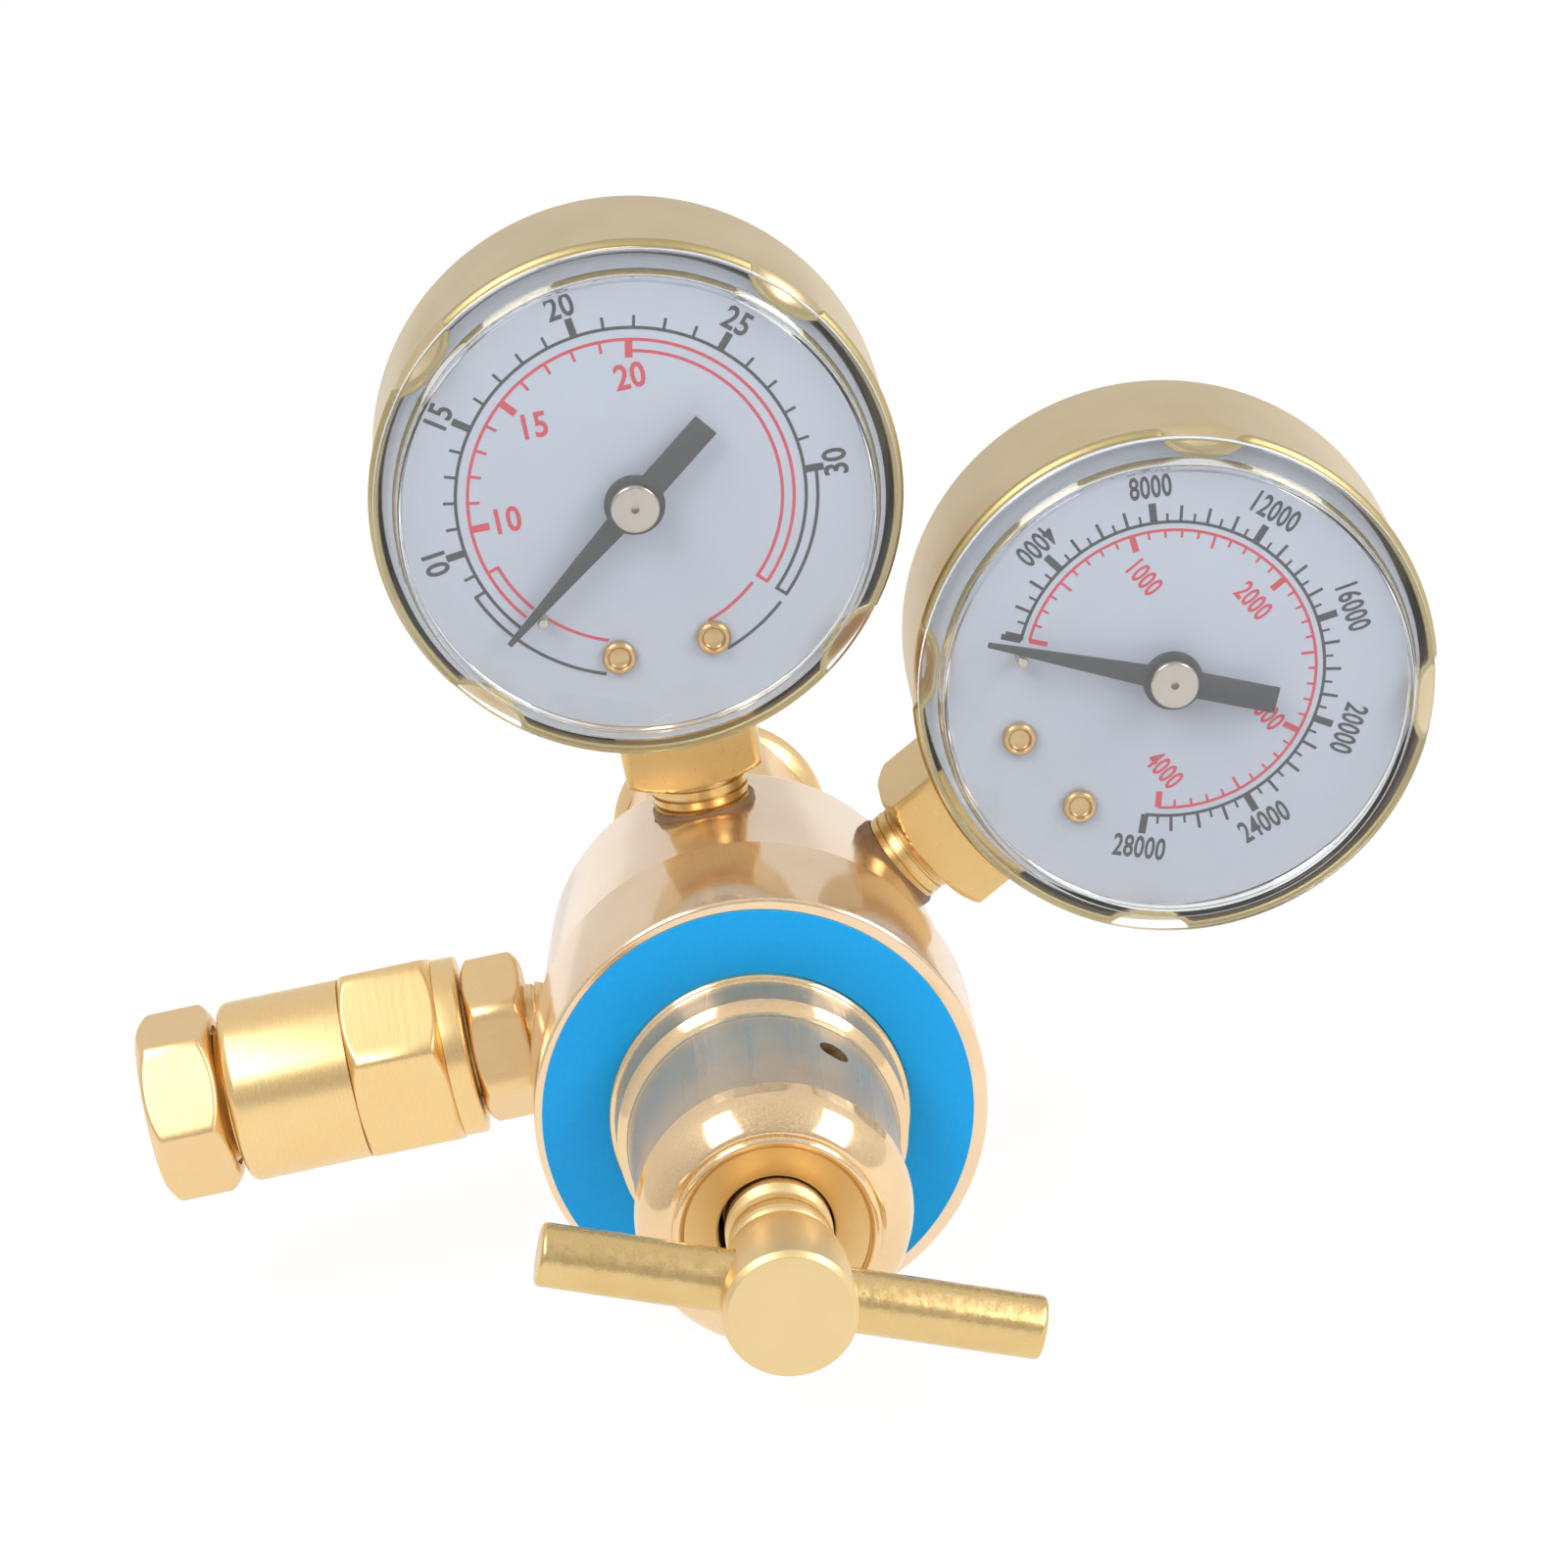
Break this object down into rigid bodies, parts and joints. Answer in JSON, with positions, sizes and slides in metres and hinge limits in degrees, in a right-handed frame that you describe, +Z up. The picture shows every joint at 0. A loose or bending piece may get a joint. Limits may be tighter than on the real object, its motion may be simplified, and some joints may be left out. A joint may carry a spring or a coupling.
{
  "type": "argon flowmeter regulator",
  "caption": "Brass gas regulator with a bell bonnet and T-shaped screw in front, a flow gauge, a pressure gauge, a hose outlet and a hexagon inlet nut.",
  "frame": {"origin": "tip of the inlet nipple's round nose, on the axis of the inlet, body, bonnet and adjusting screw", "axes": "+Y runs back along that axis into the cylinder valve, -Y is the front with the adjusting screw and the dials' faces, +Z is up through the flow gauge, -X is the hose outlet"},
  "size_m": [0.1383, 0.1417, 0.1057],
  "materials": {
    "polished_brass": "mirror polished, slightly pink",
    "satin_brass": "satin, tumbled",
    "pressed_case": "satin lacquered",
    "sintered_bronze": "porous",
    "spring_steel": "drawn",
    "nickel": "plated",
    "pointer_black": "matt black",
    "dial_white": "matt pale blue-grey",
    "label_blue": "printed",
    "clear_plastic": "clear",
    "rubber": "smooth"
  },
  "bodies": {
    "regulator_body": {"body": "polished_brass", "bonnet": "polished_brass", "label_ring": "label_blue", "main_spring": "spring_steel", "diaphragm": "rubber", "valve_nozzle": "spring_steel", "poppet_spring": "spring_steel", "inlet_filter": "sintered_bronze", "inlet_nipple": "satin_brass", "outlet_adapter": "satin_brass", "outlet_connector": "satin_brass", "flow_orifice": "satin_brass", "flow_case": "pressed_case", "flow_lens": "clear_plastic", "flow_dial": "dial_white", "flow_dial_rivet_a": "satin_brass", "flow_dial_rivet_b": "satin_brass", "flow_stop_pin": "nickel", "flow_movement_frame": "satin_brass", "flow_bourdon_tube": "satin_brass", "flow_socket": "satin_brass", "pressure_case": "pressed_case", "pressure_lens": "clear_plastic", "pressure_dial": "dial_white", "pressure_dial_rivet_a": "satin_brass", "pressure_dial_rivet_b": "satin_brass", "pressure_stop_pin": "nickel", "pressure_movement_frame": "satin_brass", "pressure_bourdon_tube": "satin_brass", "pressure_socket": "satin_brass"},
    "spring_button": {"spring_button": "spring_steel"},
    "adjusting_screw": {"adjusting_screw": "satin_brass", "tee_bar": "satin_brass"},
    "valve_stem": {"diaphragm_plate": "satin_brass", "valve_poppet": "spring_steel"},
    "inlet_nut": {"inlet_nut": "satin_brass"},
    "outlet_washer": {"outlet_washer": "rubber"},
    "outlet_nut": {"outlet_nut": "satin_brass"},
    "flow_pointer": {"flow_pointer": "pointer_black", "flow_pointer_cap": "nickel", "flow_pinion_arbor": "spring_steel"},
    "flow_sector": {"flow_sector_gear": "satin_brass"},
    "pressure_pointer": {"pressure_pointer": "pointer_black", "pressure_pointer_cap": "nickel", "pressure_pinion_arbor": "spring_steel"},
    "pressure_sector": {"pressure_sector_gear": "satin_brass"}
  },
  "joints": [
    {"name": "screw_advance", "type": "slide", "parent": "regulator_body", "child": "spring_button", "axis": [0, 1, 0], "range_m": [0, 0.006], "deforming": ["main_spring"]},
    {"name": "adjusting_screw_turn", "type": "hinge", "parent": "spring_button", "child": "adjusting_screw", "pos_m": [0, -0.136, 0], "axis": [0, 1, 0], "range_deg": [0, 2160]},
    {"name": "valve_lift", "type": "slide", "parent": "regulator_body", "child": "valve_stem", "axis": [0, 1, 0], "range_m": [0, 0.0008], "deforming": ["diaphragm", "poppet_spring"]},
    {"name": "flow_pointer_turn", "type": "hinge", "parent": "regulator_body", "child": "flow_pointer", "pos_m": [0, -0.066, 0.0569], "axis": [0, 1, 0], "range_deg": [0, 265]},
    {"name": "flow_sector_turn", "type": "hinge", "parent": "regulator_body", "child": "flow_sector", "pos_m": [0, -0.062, 0.0431], "axis": [0, 1, 0], "range_deg": [-34, 0]},
    {"name": "pressure_pointer_turn", "type": "hinge", "parent": "regulator_body", "child": "pressure_pointer", "pos_m": [0.04925, -0.066, 0.02707], "axis": [0, 1, 0], "range_deg": [0, 265]},
    {"name": "pressure_sector_turn", "type": "hinge", "parent": "regulator_body", "child": "pressure_sector", "pos_m": [0.03716, -0.062, 0.02043], "axis": [0, 1, 0], "range_deg": [-34, 0]},
    {"name": "inlet_nut_turn", "type": "hinge", "parent": "regulator_body", "child": "inlet_nut", "pos_m": [0, -0.0205, 0], "axis": [0, 1, 0], "continuous": true},
    {"name": "outlet_nut_advance", "type": "slide", "parent": "regulator_body", "child": "outlet_washer", "axis": [-1, 0, 0], "range_m": [0, 0.00353]},
    {"name": "outlet_nut_turn", "type": "hinge", "parent": "outlet_washer", "child": "outlet_nut", "pos_m": [-0.059, -0.058, 0], "axis": [-1, 0, 0], "range_deg": [0, 900]}
  ],
  "couplings": [
    {"joint": "screw_advance", "follows": "adjusting_screw_turn", "m_per_rad": 0.0001591},
    {"joint": "valve_lift", "follows": "adjusting_screw_turn", "m_per_rad": 0.0000212},
    {"joint": "flow_sector_turn", "follows": "flow_pointer_turn", "ratio": -0.125},
    {"joint": "pressure_sector_turn", "follows": "pressure_pointer_turn", "ratio": -0.125},
    {"joint": "outlet_nut_advance", "follows": "outlet_nut_turn", "m_per_rad": 0.0002246}
  ]
}
